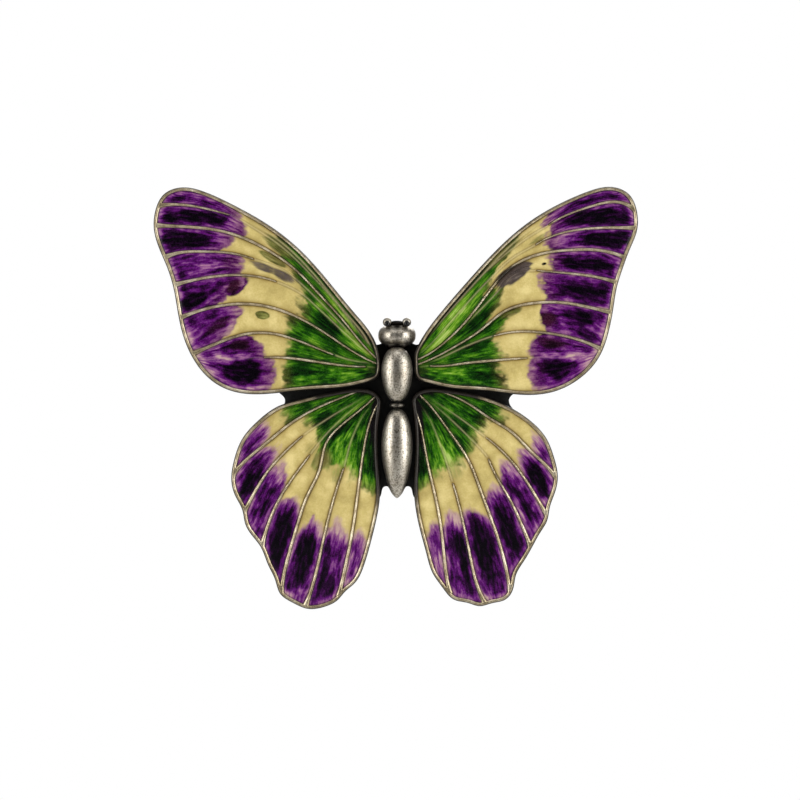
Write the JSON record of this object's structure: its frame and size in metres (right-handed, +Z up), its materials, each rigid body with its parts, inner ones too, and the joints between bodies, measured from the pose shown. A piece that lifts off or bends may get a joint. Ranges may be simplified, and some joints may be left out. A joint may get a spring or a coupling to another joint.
{
  "type": "butterfly brooch",
  "caption": "Enamelled butterfly brooch with four cast wing frames, a cast body and a hinged pin that a turning safety catch locks.",
  "frame": {"origin": "on the pin stem's axis, at the middle of its full-diameter length", "axes": "+X to the viewer's right as worn, along the pin stem to its point; +Y away from the viewer, into the cloth; +Z up"},
  "size_m": [0.056, 0.0091, 0.0488],
  "materials": {
    "wing_metal": "antique silver plating, blackened in the recesses and polished on the rims",
    "antique_silver": "antique silver plating, satin",
    "dark_plate": "blackened plating, rubbed brighter behind",
    "enamel_forewing": "gloss enamel, green at the root through cream to purple at the margin",
    "enamel_hindwing": "gloss enamel, green at the root through cream to purple at the margin",
    "black_enamel": "gloss",
    "steel_wire": "polished wire with a ground point",
    "plated_findings": "bright plating, lightly worn"
  },
  "bodies": {
    "brooch": {"abdomen": "antique_silver", "backplate": "dark_plate", "catch_bracket": "plated_findings", "head": "antique_silver", "hinge_bracket": "plated_findings", "hinge_rivet": "plated_findings", "left_antenna_knob": "antique_silver", "left_eye": "black_enamel", "left_forewing_enamel_1": "enamel_forewing", "left_forewing_enamel_2": "enamel_forewing", "left_forewing_enamel_3": "enamel_forewing", "left_forewing_frame": "wing_metal", "left_hindwing_enamel_1": "enamel_hindwing", "left_hindwing_enamel_2": "enamel_hindwing", "left_hindwing_enamel_3": "enamel_hindwing", "left_hindwing_enamel_4": "enamel_hindwing", "left_hindwing_frame": "wing_metal", "right_antenna_knob": "antique_silver", "right_eye": "black_enamel", "right_forewing_enamel_1": "enamel_forewing", "right_forewing_enamel_2": "enamel_forewing", "right_forewing_enamel_3": "enamel_forewing", "right_forewing_frame": "wing_metal", "right_hindwing_enamel_1": "enamel_hindwing", "right_hindwing_enamel_2": "enamel_hindwing", "right_hindwing_enamel_3": "enamel_hindwing", "right_hindwing_enamel_4": "enamel_hindwing", "right_hindwing_frame": "wing_metal", "thorax": "antique_silver", "waist_collar": "antique_silver"},
    "pin": {"pin_knuckle": "plated_findings", "pin_stem": "steel_wire"},
    "catch": {"catch_rotor": "plated_findings"}
  },
  "joints": [
    {"name": "pin_swing", "type": "hinge", "parent": "brooch", "child": "pin", "pos_m": [-0.012, 0, 0], "axis": [0, 0, 1], "range_deg": [0, 110]},
    {"name": "catch_turn", "type": "hinge", "parent": "brooch", "child": "catch", "pos_m": [0.012, 0, 0], "axis": [1, 0, 0], "range_deg": [0, 90]}
  ]
}
